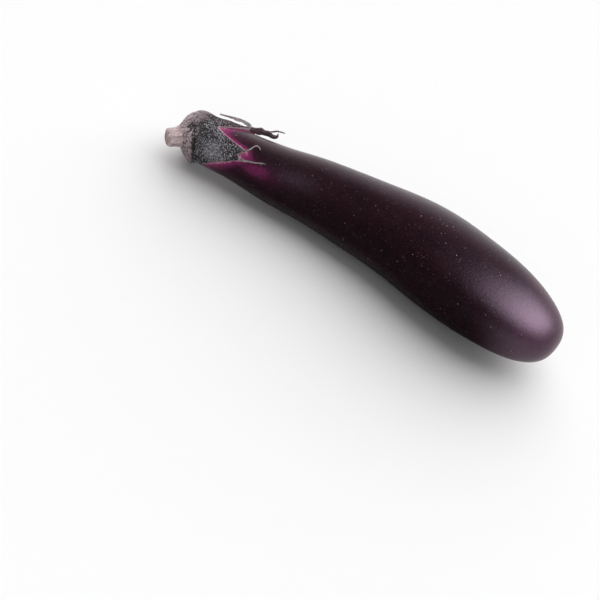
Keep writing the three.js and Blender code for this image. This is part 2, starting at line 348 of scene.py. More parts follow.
def edge_at(degrees):
    """How far along the axis the calyx reaches at an angle."""
    corners = []
    for notch, notch_along, rise, tip, tip_along, fall in EDGE:
        corners.append((notch, notch_along, rise, False))
        corners.append((tip, tip_along, fall, True))
    corners.append((EDGE[0][0] + 360, EDGE[0][1], 1, False))
    angles, reach, power, is_tip = (np.array(values) for values in zip(*corners))
    turned = angles[0] + (np.asarray(degrees, float) - angles[0]) % 360
    i = np.clip(np.searchsorted(angles, turned, "right") - 1, 0, len(angles) - 2)
    share = (turned - angles[i]) / (angles[i + 1] - angles[i])
    towards_tip = np.where(is_tip[i], 1 - share, share)
    low = np.where(is_tip[i], reach[i + 1], reach[i])
    high = np.where(is_tip[i], reach[i], reach[i + 1])
    return low + (high - low) * towards_tip ** power[i]


print("calyx reaches, mm:", edge_at(whole_turn).min().round(1), "to", edge_at(whole_turn).max().round(1))

# %% [markdown]
# The fruit is skinned over rings that stand closer together at its ends. A real one is never quite
# round, so very low waves run along and round it; they are what makes a highlight look grown rather
# than turned on a lathe. A noise texture could move the points too, but a few sines stay smooth at any
# size. A shallow scar marks the blossom end, and the belly is pressed flat where it lies.

# %% Fruit
FRUIT_ROWS, FRUIT_COLUMNS = 320, 192
POLE_CLEARANCE = 0.02
UNEVEN = 0.16
WAVES = [
    # height, waves round the axis, millimetres per radian along it, and phase
    (1, 2, 31, 0),
    (0.7, 3, -19, 1),
    (0.5, 5, 24, 2),
]
RIPPLE, RIPPLE_LENGTH, RIPPLE_SWAY = 0.6, 9, 2
SMOOTH_NECK, WAVY_FROM, SMOOTH_END = 28, 60, 14
SCAR_RADIUS, SCAR_CORE, SCAR_DEPTH = 2.2, 0.4, 0.35

share = (1 - np.cos(np.pi * np.linspace(0, 1, FRUIT_ROWS))) / 2
skin_length = axis_length - SHOULDER_TOP - 2 * POLE_CLEARANCE
along = (SHOULDER_TOP + POLE_CLEARANCE + skin_length * share)[:, None]
degrees = all_round(FRUIT_COLUMNS)
angle = np.radians(degrees)
waves = RIPPLE * np.sin(along / RIPPLE_LENGTH + RIPPLE_SWAY * np.sin(angle))
for height, times_round, length, phase in WAVES:
    waves = waves + height * np.sin(times_round * angle + along / length + phase)
wavy = ease(along, SMOOTH_NECK, WAVY_FROM) * (1 - ease(along, axis_length - SMOOTH_END, axis_length))
radius = fruit_radius(along) + UNEVEN * waves * wavy
points = beside(along, degrees, radius)
to_tip = np.linalg.norm(points - beside(axis_length, 0.0, 0.0), axis=-1) / MM
scar = 1 - ease(to_tip, SCAR_CORE * SCAR_RADIUS, SCAR_RADIUS)
points -= (axis_ahead[-1] * MM * SCAR_DEPTH) * scar[..., None]
points[..., 2] = np.maximum(points[..., 2], 0)

fruit = ring_body("fruit_skin", points)
store(fruit, "straight", straightened(along, degrees, radius))
store(fruit, "scar", scar)
join(fruit, "skin", "fruit")

# %% [markdown]
# The skin differs from place to place, and its points keep where. Skin that the calyx shaded is pink and
# darkens outwards, over a distance that changes round the neck, and one patch of magenta glows below the
# front lobe. Wax with a painted sheen lightens the neck's top and the blossom end, a thin haze lies between
# them, and dust sits in a few clusters. Painting these by hand would work too, but values can be tuned and
# repeated.

# %% Places on the skin
ROUND_NECK = 13.5
EDGE_STEP = 1.0
BLUSH_UNTIL, NO_BLUSH = 90, 99.0
FADING = 1.9
FADING_CHANGES = [(95, 28, 1.7), (38, 9, 2.8), (-30, 15, -0.9), (-3, 7, 1.0)]
GLOW_AT, GLOW_REACH, GLOW = (53, 52), (13, 20), 0.42
HAZE_AT, HAZE_REACH = (72, 35), (26, 60)
# where wax and a painted sheen lighten the top of the neck and the blossom end
NECK_WAX_SHEEN_AT, NECK_WAX_SHEEN_REACH = (60, -52), (28, 33)
END_WAX_SHEEN_FROM, END_WAX_SHEEN_FULL = 192, 226
DUSTED = [
    # distance and degrees of each cluster
    (122, 27), (156, 51), (174, 48), (173, 24), (88, 60),
    (105, -70), (143, -120), (186, -48), (131, 140),
]
CLUSTER = 2.2


def from_edge(along, degrees):
    """How far the points of rows round the neck lie from the calyx's edge, in millimetres."""
    edge_turn = np.arange(-180, 180, EDGE_STEP)
    edge_along = edge_at(edge_turn)
    here = np.radians(half_turn(degrees)) * ROUND_NECK
    there = np.radians(edge_turn) * ROUND_NECK
    across = np.abs(here[:, None] - there[None, :])
    across = np.minimum(across, 2 * np.pi * ROUND_NECK - across)
    far = np.full((len(along), len(degrees)), NO_BLUSH)
    for row in np.flatnonzero(along < BLUSH_UNTIL):
        far[row] = np.hypot(across, along[row] - edge_along[None, :]).min(axis=1)
    return far


fading = varied(FADING, FADING_CHANGES, degrees)
glow = GLOW * patch(along, degrees, GLOW_AT, GLOW_REACH)
dusted = np.zeros(points.shape[:2])
for at_along, at_degrees in DUSTED:
    middle = beside(at_along, at_degrees, fruit_radius(at_along))
    off = np.linalg.norm(points - middle, axis=-1) / MM
    dusted = np.maximum(dusted, np.exp(-((off / CLUSTER) ** 4)))
skin_places = {
    "blush": np.maximum(np.exp(-from_edge(along[:, 0], degrees[0]) / fading), glow),
    "haze": patch(along, degrees, HAZE_AT, HAZE_REACH),
    # the next two are wax with a painted sheen: the neck's top and the blossom end are lightened
    "neck_wax_sheen": patch(along, degrees, NECK_WAX_SHEEN_AT, NECK_WAX_SHEEN_REACH),
    "end_wax_sheen": ease(along, END_WAX_SHEEN_FROM, END_WAX_SHEEN_FULL) + 0 * degrees,
    "dusted": dusted,
}
for name, values in skin_places.items():
    store(fruit, name, values)
print("mean of each place on the skin:")
print({name: values.mean().round(3) for name, values in skin_places.items()})

# %% [markdown]
# The calyx starts as a swollen knob next to the stem and passes into a leaf that hugs the fruit, with a
# low rib along each lobe. A crease slants over the knob on the front. As with the fruit, one radius for
# each distance and angle describes it, so its outline is a formula in the same few measures.

# %% Outline of the calyx
CALYX_START, KNOB_UNTIL, LEAF_FROM = 7.5, 20, 29
GAP, LEAF = 0.3, 0.9
KNOB_STATIONS = [
    (CALYX_START, 5.6), (8.3, 6.4), (9.3, 8.2), (11.5, 11.2), (14, 13.5), (16.5, 14.2), (20, 13.4),
    (NECK_AT, 12.9),
]
KNOB_WIDEST = 16.5
KNOB_TILT, KNOB_LOW_SIDE, LEAN_FADE = 1, 128, 3
VEIN_HEIGHT, VEIN_WIDTH, VEIN_FADE = 0.35, 8, 10
CREASE_ANGLE, CREASE_SPREAD, CREASE_TOP, CREASE_BOTTOM = 50, 52, 12, 13.4
CREASE_DEPTH, CREASE_LENGTH = 0.7, 1.4
CREASE_RAGGED = [(0.9, 0.22, 11.0), (0.7, 0.55, 13.0)]
LIFT_ANGLE, LIFT_SPREAD, LIFT = -62, 30, 0.8
PATTERN_RADIUS = 13.0
knob_radius = size_through(KNOB_STATIONS)


def crease_middle(degrees):
    """Where the crease crosses an angle: nearer to the stem at its top than lower down, and ragged."""
    lower = ease(half_turn(degrees), 0, CREASE_ANGLE + CREASE_SPREAD)
    round_knob = straightened(0.0, np.asarray(degrees, float), PATTERN_RADIUS)
    return CREASE_TOP + (CREASE_BOTTOM - CREASE_TOP) * lower + layered(round_knob, CREASE_RAGGED)


def by_crease(along, degrees, angle, spread, length, past=0.0, power=4):
    """A soft band along the crease, or a little past it: 1 in its middle, fading along and round."""
    forward = (along - crease_middle(degrees) - past) / length
    sideways = apart(degrees, angle) / spread
    return np.exp(-(forward**2) - sideways**power)


def calyx_radius(along, degrees):
    """The calyx's outside: a knob that leans, then a leaf with a low rib along each lobe."""
    lean = KNOB_TILT * np.cos(np.radians(degrees - KNOB_LOW_SIDE))
    leaning = along + lean * ease(along, CALYX_START, CALYX_START + LEAN_FADE)
    knob = knob_radius(np.minimum(leaning, NECK_AT))
    leaf = fruit_radius(along) + GAP + LEAF
    blend = ease(along, KNOB_UNTIL, LEAF_FROM)
    nearest = np.min([apart(degrees, tip) for tip in TIP_ANGLES], axis=0)
    vein = VEIN_HEIGHT * ease(along, NECK_AT - VEIN_FADE, NECK_AT) * np.exp(-((nearest / VEIN_WIDTH) ** 2))
    lift = LIFT * blend * band(degrees, LIFT_ANGLE, LIFT_SPREAD)
    crease = CREASE_DEPTH * by_crease(along, degrees, CREASE_ANGLE, CREASE_SPREAD, CREASE_LENGTH)
    return knob + (leaf - knob) * blend + lift + vein - crease


print("knob radius on top, mm:", calyx_radius(np.array([KNOB_WIDEST]), np.array([0.0])).round(2))

# %% [markdown]
# The surface of the calyx is far from smooth. Folds and finer wrinkles run from the stem over the knob,
# the crease is torn open to ragged pits, the leaf has grain, and it thins towards its edge. A bump in
# the finish could fake this, but it would be missing from the mesh, so all of it goes into the radius.

# %% Surface of the calyx
FOLD, FOLD_STRETCH, FOLD_NOISE = 0.6, (0.35, 1, 1), (0.3, 7.0)
WRINKLE, WRINKLE_STRETCH, WRINKLE_NOISE = 0.42, (0.3, 1, 1), (0.75, 9.0)
FOLDS_FULL, FOLDS_FADE, FOLDS_END = 10, 15.5, 19.5
TEAR, TEAR_ANGLE, TEAR_SPREAD, TEAR_LENGTH = 0.8, 46, 44, 1.9
PIT_LEVEL, PIT_CONTRAST, PIT_DEEPEST, PIT_NOISE = 0.25, 2.6, 1.3, (0.6, 5.0)
GRAIN, GRAIN_LAYERS = 0.17, [(1, 1.1, 2.0), (0.6, 2.1, 3.0)]
GRAIN_FROM, GRAIN_FULL = 13, 18
THINNER, THIN_OVER, THIN_FROM, THIN_FULL = 0.35, 3, 22, 26


def folded(along, degrees):
    """Folds and finer wrinkles, from about -1 to 1, and how much of them shows."""
    flat = straightened(along, degrees, PATTERN_RADIUS)
    folds = rough(flat * np.array(FOLD_STRETCH), *FOLD_NOISE)
    wrinkles = rough(flat * np.array(WRINKLE_STRETCH), *WRINKLE_NOISE)
    shown = ease(along, CALYX_START, FOLDS_FULL) * (1 - ease(along, FOLDS_FADE, FOLDS_END))
    return folds, wrinkles, shown


def torn_open(along, degrees):
    """The torn band along the crease on the front of the knob: ragged pits, from 0 to the deepest."""
    flat = straightened(along, degrees, PATTERN_RADIUS)
    pits = np.clip(PIT_LEVEL + PIT_CONTRAST * rough(flat, *PIT_NOISE), 0, PIT_DEEPEST)
    return by_crease(along, degrees, TEAR_ANGLE, TEAR_SPREAD, TEAR_LENGTH) * pits


def leaf_surface(along, degrees):
    """The calyx's outside with all its unevenness."""
    folds, wrinkles, shown = folded(along, degrees)
    flat = straightened(along, degrees, PATTERN_RADIUS)
    to_edge = edge_at(degrees) - along
    thin = THINNER * (1 - ease(to_edge, 0, THIN_OVER)) * ease(along, THIN_FROM, THIN_FULL)
    radius = calyx_radius(along, degrees) + (FOLD * folds + WRINKLE * wrinkles) * shown
    radius += GRAIN * layered(flat, GRAIN_LAYERS) * ease(along, GRAIN_FROM, GRAIN_FULL) - thin
    return radius - TEAR * torn_open(along, degrees)


around_knob = leaf_surface(np.full(whole_turn.shape, KNOB_WIDEST), whole_turn)
print("uneven knob radius, mm:", around_knob.min().round(2), "to", around_knob.max().round(2))

# %% [markdown]
# Two coats meet on the calyx: bald bark on the knob, and grey felt on the leaf. The bark reaches further
# above than on the front. The felt is thickest in one pale patch on the front lobe, and thin on the
# upper lobe, along the lower rim and at the edge. Both the colours and the hairs follow these rules.

# %% Bark and felt
BARK_REACH = 15.5
BARK_CHANGES = [(58, 42, -3.2), (-25, 34, 3.5)]
PALE_AT, PALE_REACH = (29, 58), (6, 22)
FELT_ON_KNOB, FELT_ON_LEAF, FELT_PALE = 0.1, 0.52, 0.38
FELT_PAST_BARK = 6
FELT_THIN = [(-42, 36, 0.75), (94, 22, 0.8)]
FELT_AT_EDGE, EDGE_BARE, EDGE_FULL = 0.4, 0.5, 8


def bark_reach(degrees):
    """How far the knob's bald bark reaches along the axis: least on the front, most above it."""
    return varied(BARK_REACH, BARK_CHANGES, degrees)


def felt_cover(along, degrees):
    """How thick the hairs stand, 0 to 1: thin on the knob, above, below and towards the edge."""
    past_bark = ease(along - bark_reach(degrees), 0, FELT_PAST_BARK)
    cover = FELT_ON_KNOB + FELT_ON_LEAF * past_bark
    for angle, width, thinner in FELT_THIN:
        cover = cover * (1 - thinner * band(degrees, angle, width))
    inward = ease(edge_at(degrees) - along, EDGE_BARE, EDGE_FULL)
    cover = cover * (FELT_AT_EDGE + (1 - FELT_AT_EDGE) * inward)
    return cover + FELT_PALE * patch(along, degrees, PALE_AT, PALE_REACH)


bark_ends = bark_reach(whole_turn)
print("bark reaches, mm:", bark_ends.min().round(1), "to", bark_ends.max().round(1))

# %% [markdown]
# The calyx is skinned from the stem to its lobed edge, round the edge, and back along the fruit, so it is
# a closed body with a real thickness. A sheet with a Solidify modifier could give the thickness too,
# but its inside has to follow the fruit, and this way it does.

# %% Calyx
CALYX_COLUMNS, KNOB_ROWS, LEAF_ROWS, INSIDE_ROWS = 360, 48, 36, 12
KNOB_ROWS_END, RIM_MARGIN = 21, 0.3
RIM_TUCK = 0.18
EDGE_RAGGED = [(0.35, 0.7, 4.0)]
SHOULDER_ROWS, SHOULDER_SHIFT = (19.0, 17.0, 15.5, SHOULDER_TOP + 0.1), 0.15

degrees = all_round(CALYX_COLUMNS)
reach = edge_at(degrees) + layered(straightened(0.0, degrees, PATTERN_RADIUS), EDGE_RAGGED)
leaf_length = reach - RIM_MARGIN - KNOB_ROWS_END
knob_along = np.linspace(CALYX_START, KNOB_ROWS_END, KNOB_ROWS)[:, None] + 0 * degrees
leaf_along = KNOB_ROWS_END + leaf_length * np.linspace(0, 1, LEAF_ROWS)[1:, None]
outside_along = np.vstack([knob_along, leaf_along])
outside_degrees = np.broadcast_to(degrees, outside_along.shape)
outside_radius = leaf_surface(outside_along, outside_degrees)
rim_gap = GAP - RIM_TUCK
rim_radius = (outside_radius[-1:] + fruit_radius(reach) + rim_gap) / 2
inside_share = np.linspace(1, 0, INSIDE_ROWS)[:, None]
inside_along = KNOB_ROWS_END + leaf_length * inside_share
inside_radius = fruit_radius(inside_along) + GAP * (1 - inside_share) + rim_gap * inside_share
under_along = np.array(SHOULDER_ROWS)[:, None] + 0 * degrees
under_radius = fruit_radius(under_along) + GAP
all_along = np.vstack([outside_along, reach, inside_along, under_along - SHOULDER_SHIFT])
all_radius = np.vstack([outside_radius, rim_radius, inside_radius, under_radius])
all_degrees = np.broadcast_to(degrees, all_along.shape)

calyx = ring_body("calyx_leaf", beside(all_along, all_degrees, all_radius))
store(calyx, "straight", straightened(all_along, all_degrees, all_radius))
join(calyx, "leaf", "calyx")

# %% [markdown]
# The calyx keeps its places too: the dry rim with a painted catch-light, brightest on the front, the bald
# knob with a frayed end, painted shade in the crease, its pits and the wrinkles' hollows with pale flecks
# beside it, painted shade on the bark behind and under the knob, the felt and its pale patch, and the
# dusky upper lobe. Inside, where nothing shows, all of them are 0 but the rim, which runs on.

# %% Places on the calyx
RIM_DRY, RIM_FRESH, RIM_FROM, RIM_FULL = 0.35, 1.2, 22, 24
RIM_DULL, RIM_BRIGHT_ANGLE, RIM_BRIGHT_WIDTH = 0.4, 12, 18
FOLDS_FRAY, WRINKLES_FRAY, BARK_WHOLE, BARK_GONE = 2, 1.5, -2.2, 2.6
# how strongly pits and wrinkles are darkened as painted shade
PIT_SHADE, WRINKLE_SHADE = 2, 0.9
SHADE_LEVEL, SHADE_CONTRAST, SHADE_NOISE = 0.4, 2.2, (0.6, 17.0)
SHADE_ANGLE, SHADE_SPREAD, SHADE_LENGTH, SHADE_PAST = 46, 46, 2.6, 0.8
FLECK_ANGLE, FLECK_SPREAD, FLECK_LENGTH, FLECK_PAST = 16, 30, 3, 0.6
BEHIND_FROM, BEHIND_FULL, BEHIND_ANGLE, BEHIND_WIDTH = 11, 17, -20, 50
UNDER_ANGLE, UNDER_WIDTH, UNDER_SHARE = 112, 42, 0.8
DUSKY_FROM, DUSKY_FULL, DUSKY_ANGLE, DUSKY_WIDTH = 18, 26, -46, 38

folds, wrinkles, shown = folded(outside_along, outside_degrees)
frayed = outside_along - bark_reach(degrees) + FOLDS_FRAY * folds + WRINKLES_FRAY * wrinkles
# painted shade: darker where a pit is torn deeper, and in the wrinkles' hollows
pit_and_wrinkle_shade = PIT_SHADE * torn_open(outside_along, outside_degrees) - WRINKLE_SHADE * wrinkles * shown
outside_flat = straightened(outside_along, outside_degrees, PATTERN_RADIUS)
broken = np.clip(SHADE_LEVEL + SHADE_CONTRAST * rough(outside_flat, *SHADE_NOISE), 0, 1)
# painted shade in a ragged band along the crease
shade = broken * by_crease(
    outside_along, outside_degrees, SHADE_ANGLE, SHADE_SPREAD, SHADE_LENGTH, SHADE_PAST
)
# painted shade: the bark is darker behind the knob and under it
shade_behind_knob = ease(outside_along, BEHIND_FROM, BEHIND_FULL) * band(degrees, BEHIND_ANGLE, BEHIND_WIDTH)
shade_under_knob = UNDER_SHARE * band(degrees, UNDER_ANGLE, UNDER_WIDTH)
calyx_places = {
    "knob": 1 - ease(frayed, BARK_WHOLE, BARK_GONE),
    "crease": np.clip(np.maximum(pit_and_wrinkle_shade, shade), 0, 1),
    "flecks": by_crease(
        outside_along, outside_degrees, FLECK_ANGLE, FLECK_SPREAD, FLECK_LENGTH, FLECK_PAST, power=2
    ),
    "bark_shade": np.maximum(shade_behind_knob, shade_under_knob),
    "pale": patch(outside_along, outside_degrees, PALE_AT, PALE_REACH),
    "felt": felt_cover(outside_along, outside_degrees),
    "dusky": band(degrees, DUSKY_ANGLE, DUSKY_WIDTH) * ease(outside_along, DUSKY_FROM, DUSKY_FULL),
}
inside = np.zeros((len(all_along) - len(outside_along), CALYX_COLUMNS))
for name, values in calyx_places.items():
    store(calyx, name, np.vstack([values, inside]))
dry_rim = (1 - ease(reach - outside_along, RIM_DRY, RIM_FRESH)) * ease(outside_along, RIM_FROM, RIM_FULL)
# a painted catch-light makes the dry rim brightest on the front
rim_catch_light = RIM_DULL + (1 - RIM_DULL) * band(degrees, RIM_BRIGHT_ANGLE, RIM_BRIGHT_WIDTH)
store(calyx, "rim", np.vstack([dry_rim, inside + 1]) * rim_catch_light)
print("mean of each place on the calyx:")
print({name: values.mean().round(3) for name, values in calyx_places.items()})

# %% [markdown]
# Each leaf tip has dried to a strip: one curls back over the calyx, one is torn in two, one hooks and
# the others lie along the fruit. A strip is swept along a path, as a ribbon with a slightly cupped
# section. Its frame is carried along the path without twisting, because a frame that looks for "up"
# would flip where the strip curls over.

# %% Paths of the dry strips
STRIPS = {
    # widths at root, middle and tip, thickness, roll, how mauve it is, and the points of its path:
    # distance, degrees, height over the fruit
    "curled": ((2.2, 3.2, 0.8), 0.8, 65, 0.25, [
        (34.5, -44, 0.85), (38, -45.5, 1.1), (39.8, -47, 2.2), (39, -48, 3.7),
        (36.5, -49, 4.4), (32, -50, 4.6), (27.5, -51, 4.2), (23, -52, 3.7),
    ]),
    "upturned": ((2.2, 3.4, 0.9), 0.9, 75, 1, [
        (36.5, -59, 0.9), (41, -56.5, 1.8), (45.5, -53.5, 2.7), (49.3, -52, 2.9),
        (52.3, -51, 2.5), (53.9, -50.5, 3.3), (54.1, -50.5, 5),
    ]),
    "torn": ((1.8, 1.3, 0.7), 0.8, 30, 0.7, [
        (42, -58, 1.4), (47, -56, 3.2), (50.5, -55, 4.8), (53.5, -54.5, 6.1), (57, -54, 6.4),
    ]),
    "hooked": ((1.4, 0.85, 0.55), 0.45, 0, 0, [
        (40.5, 25, 0.8), (44.8, 26.5, 0.9), (46.3, 22, 1.1), (47.6, 15, 1.4),
        (49, 8.5, 1.5), (50.4, 8, 1.3), (51.8, 12, 0.9),
    ]),
    "slanting": ((1.7, 1, 0.55), 0.5, 0, 0.1, [
        (39.5, 51, 0.8), (44.5, 47, 0.85), (50, 42.5, 1), (54, 37.5, 1.05), (58, 32.5, 0.9),
    ]),
    "under_front": ((2, 1.5, 0.8), 0.7, 0, 0.4, [
        (37, 160, 0.8), (42, 161, 0.85), (47.5, 165, 0.9), (52, 169, 1.1),
    ]),
    "under_back": ((2, 1.5, 0.8), 0.7, 0, 0.6, [
        (38, 208, 0.8), (43, 209, 0.85), (48, 213, 0.95), (53.5, 215, 1.3),
    ]),
}
STRIP_STEPS, STRIP_SIDES = 90, 28


def carried(first, ahead):
    """A direction carried along a path, kept square to it and never twisting."""
    kept = [first]
    for step in ahead[1:]:
        square = kept[-1] - step * np.dot(kept[-1], step)
        kept.append(square / np.linalg.norm(square))
    return np.array(kept)


def swept_path(path):
    """A strip's path in even steps: distances along it, its points, and the ways ahead and outward."""
    along, degrees, height = np.array(path, float).T
    line = wire_through(beside(along, degrees, fruit_radius(along) + height) / MM)
    measured = lengths_along(line)
    even = np.linspace(0, measured[-1], STRIP_STEPS)
    line = np.stack([np.interp(even, measured, line[:, k]) for k in range(3)], -1)
    ahead = np.gradient(line, even, axis=0)
    ahead = ahead / np.linalg.norm(ahead, axis=1, keepdims=True)
    lifted = outward(along[:1], degrees[:1])[0]
    lifted = lifted - ahead[0] * np.dot(lifted, ahead[0])
    return even, line, ahead, carried(lifted / np.linalg.norm(lifted), ahead)


print("strip lengths, mm:", {name: swept_path(shape[-1])[0][-1].round(1) for name, shape in STRIPS.items()})

# %% [markdown]
# Dry leaf shrinks unevenly: the ribbon rolls on edge past its root, sways, narrows and widens, cups along
# its middle with low ribs, and crinkles. Cloth simulation could curl it, but the strips have to follow
# the photograph, so each of these is a small change to the section as it runs along the path.

# %% Dry strips
ROLLED_BY = 0.3
SWAY, SWAY_NOISE, SWAY_FROM, SWAY_FULL = 0.35, (0.4, 8.0), 0.1, 0.4
RAGGED, RAGGED_NOISE = 0.35, (0.6, 1.0)
TAPER, TAPER_FROM = 0.75, 0.9
BLUNT_SIDES = 0.2
RIBS, RIB_HEIGHT = 3, 0.3
CUP, THIN_TIP = 0.3, 0.3
CRINKLES = [(0.16, 0.8, 3.0), (0.1, 1.7, 6.0)]
PATTERN_STEP = 40
BLEACHED_POWER = 6


def width_along(widths, share):
    """The width at a share of the length, on one smooth curve through root, middle and tip."""
    root, middle, tip = widths
    bowed = 4 * middle * share * (1 - share)
    return root * (1 - share) * (1 - 2 * share) + bowed + tip * share * (2 * share - 1)


def strip(name, widths, thickness, roll, mauve, path):
    """One dry strip, with the values that its finish reads."""
    even, line, ahead, thick = swept_path(path)
    wide = np.cross(thick, ahead)
    share = np.linspace(0, 1, STRIP_STEPS)[:, None]
    rolled = np.radians(roll) * ease(share, 0, ROLLED_BY)
    thick = thick * np.cos(rolled) + wide * np.sin(rolled)
    wide = np.cross(thick, ahead)
    line = line + wide * SWAY * rough(line, *SWAY_NOISE)[:, None] * ease(share, SWAY_FROM, SWAY_FULL)
    ragged = 1 + RAGGED * rough(line, *RAGGED_NOISE)[:, None]
    tapered = np.sqrt(1 - TAPER * ease(share, TAPER_FROM, 1))
    half = 0.5 * width_along(widths, share) * ragged * tapered
    turn = np.linspace(0, 2 * np.pi, STRIP_SIDES, endpoint=False)
    out = np.cos(turn) * np.abs(np.cos(turn)) ** BLUNT_SIDES
    across = half * out
    ribbed = 1 + RIB_HEIGHT * np.cos(RIBS * np.pi * out)
    deep = 0.5 * thickness * (1 - THIN_TIP * share) * np.sin(turn) * ribbed + CUP * half * out**2
    grid = line[:, None] + wide[:, None] * across[..., None] + thick[:, None] * deep[..., None]
    grid = grid + thick[:, None] * layered(grid, CRINKLES)[..., None]
    piece = ring_body("calyx_strip_" + name, grid * MM)
    flat = np.broadcast_arrays(even[:, None] + PATTERN_STEP * roll, across, deep)
    store(piece, "straight", np.stack(flat, -1))
    store(piece, "rim", np.abs(out) ** BLEACHED_POWER + 0 * share)
    store(piece, "mauve", mauve + 0 * across)
    join(piece, "leaf")
    return piece


strips = [strip(name, *shape) for name, shape in STRIPS.items()]

# %% [markdown]
# The grey of a calyx is not a colour but a coat of tiny hairs, and an eggplant's hairs are stars: several
# rays spread from one foot. Blender's hair system would not survive as a plain mesh, so each ray is a
# closed spike with three sides. The stars are scattered with a fixed seed, as thick as the felt is.

# %% Star hairs
STARS, RAYS, SPIKE_POINTS, TRIES, SEED = 2200, 6, 4, 3, 12
HAIRS_FROM, EDGE_MARGIN, SUNK = 14, 0.1, 0.03
RAY_LENGTH, RAY_WIDTH, RAY_LIFT, RAY_STRAY = (0.2, 0.48), (0.06, 0.1), 0.35, 0.25
dice = np.random.default_rng(SEED)
tried = TRIES * STARS
tried_degrees = dice.uniform(0, 360, tried)
felt_length = edge_at(tried_degrees) - EDGE_MARGIN - HAIRS_FROM
tried_along = HAIRS_FROM + felt_length * np.sqrt(dice.uniform(0, 1, tried))
wanted = felt_cover(tried_along, tried_degrees)
kept = np.flatnonzero(dice.uniform(0, 1, tried) < wanted)[:STARS]
star_degrees, star_along = tried_degrees[kept], tried_along[kept]
normal = outward(star_along, star_degrees)
foot = beside(star_along, star_degrees, leaf_surface(star_along, star_degrees) - SUNK)
first = np.cross(normal, dice.normal(size=normal.shape))
first /= np.linalg.norm(first, axis=1, keepdims=True)
second = np.cross(normal, first)
spikes = []
for ray in range(RAYS):
    turn = 2 * math.pi * (ray + dice.uniform(-RAY_STRAY, RAY_STRAY, len(kept)))[:, None] / RAYS
    flat = first * np.cos(turn) + second * np.sin(turn)
    side = np.cross(normal, flat)
    length = dice.uniform(*RAY_LENGTH, len(kept))[:, None] * MM
    width = dice.uniform(*RAY_WIDTH, len(kept))[:, None] * MM
    tip = foot + (flat + normal * RAY_LIFT) * length
    base = [foot + normal * width, foot - side * width, foot + side * width]
    spikes.append(np.stack([tip, *base], axis=1))
star_points = np.concatenate(spikes).reshape(-1, 3)
star_faces = []
for tip in range(0, len(star_points), SPIKE_POINTS):
    star_faces += [(tip, tip + 1, tip + 2), (tip, tip + 2, tip + 3), (tip, tip + 3, tip + 1)]
    star_faces.append((tip + 3, tip + 2, tip + 1))
hair_mesh = bpy.data.meshes.new("calyx_hairs")
hair_mesh.from_pydata(star_points.tolist(), [], star_faces)
hairs = bpy.data.objects.new("calyx_hairs", hair_mesh)
bpy.context.scene.collection.objects.link(hairs)
join(hairs, "leaf")

# %% [markdown]
# The stem was cut short. Its side has low ribs that run into the knob, and its cut face has dried to
# pale cork, a little sunken inside the bark. The rings of points start in the middle of the cut face,
# so the face gets its relief in the same skin as the side.

# %% Stem
STEM_CLEARANCE = 0.04
STEM_END = CALYX_START - STEM_CLEARANCE
STEM_STATIONS = [
    (0, 3), (0.35, 3.8), (0.9, 4.4), (1.8, 4.8), (3, 4.95), (5, 4.95), (6.6, 5.25), (STEM_END, 5.6),
]
STEM_RIBS, STEM_RIB_SHARE = 5, 0.03
STEM_COLUMNS, FACE_ROWS, SIDE_ROWS = 144, 14, 44
FURROW, FURROW_STRETCH, FURROW_NOISE = 0.24, (0.3, 1, 1), (0.6, 6.0)
FLAKES = [(0.12, 1.1, 2.0)]
FURROWS_FULL, FURROWS_UNTIL = 0.8, 6.6
FACE_RADIUS, FACE_MIDDLE, FACE_EDGE = 3.0, 0.08, 0.92
SUNK_DEPTH, SUNK_WITHIN, SUNK_RISE, SUNK_LEAST = 0.35, 0.5, 0.85, 0.02
CORK_LUMPS = [(0.12, 0.9, 8.0)]
CORK_ROUND_RIM = (0.1, 0.7)
stem_radius = size_through(STEM_STATIONS)

degrees = all_round(STEM_COLUMNS)
ribs = 1 + STEM_RIB_SHARE * np.cos(np.radians(STEM_RIBS * degrees))
side_along = np.linspace(0, STEM_END, SIDE_ROWS)[1:, None] + 0 * degrees
side_radius = stem_radius(side_along) * ribs
bark = straightened(side_along, degrees + 0 * side_along, side_radius)
furrows = FURROW * rough(bark * np.array(FURROW_STRETCH), *FURROW_NOISE) + layered(bark, FLAKES)
furrowed = ease(side_along, 0, FURROWS_FULL) * (1 - ease(side_along, FURROWS_UNTIL, STEM_END))
side_radius = side_radius + furrows * furrowed
face_share = np.linspace(FACE_MIDDLE, 1, FACE_ROWS)[:, None]
face_radius = FACE_RADIUS * ribs * face_share
cork = straightened(0 * face_radius, degrees + 0 * face_radius, face_radius)
sunk = SUNK_DEPTH * (1 - ease(face_share, SUNK_WITHIN, SUNK_RISE)) + layered(cork, CORK_LUMPS)
face_along = np.maximum(sunk, SUNK_LEAST) * (1 - ease(face_share, FACE_EDGE, 1))
all_along = np.vstack([face_along, side_along])
all_radius = np.vstack([face_radius, side_radius])
all_degrees = np.broadcast_to(degrees, all_along.shape)
stem = ring_body("stem_stub", beside(all_along, all_degrees, all_radius))
store(stem, "straight", straightened(all_along, all_degrees, all_radius))
store(stem, "cut", np.vstack([1 + 0 * face_radius, 1 - ease(side_along, *CORK_ROUND_RIM)]))
join(stem, "stem", "stem")

# %% [markdown]
# Finishes are made of nodes. A few short helpers make a node, fill its inputs with numbers or links, and
# mix two colours. Colours are written as they look on a screen and turned into linear light here.

# %% Node helpers
def seen(red, green, blue):
    """A colour as seen on a screen, 0 to 255, as linear light."""
    light = []
    for value in (red, green, blue):
        value /= 255
        light.append(value / 12.92 if value <= 0.04045 else ((value + 0.055) / 1.055) ** 2.4)
    return (*light, 1)


def fill(tree, socket, value):
    """Links a socket to another node's output, or gives it a plain value."""
    if isinstance(value, bpy.types.NodeSocket):
        tree.links.new(value, socket)
    else:
        socket.default_value = value


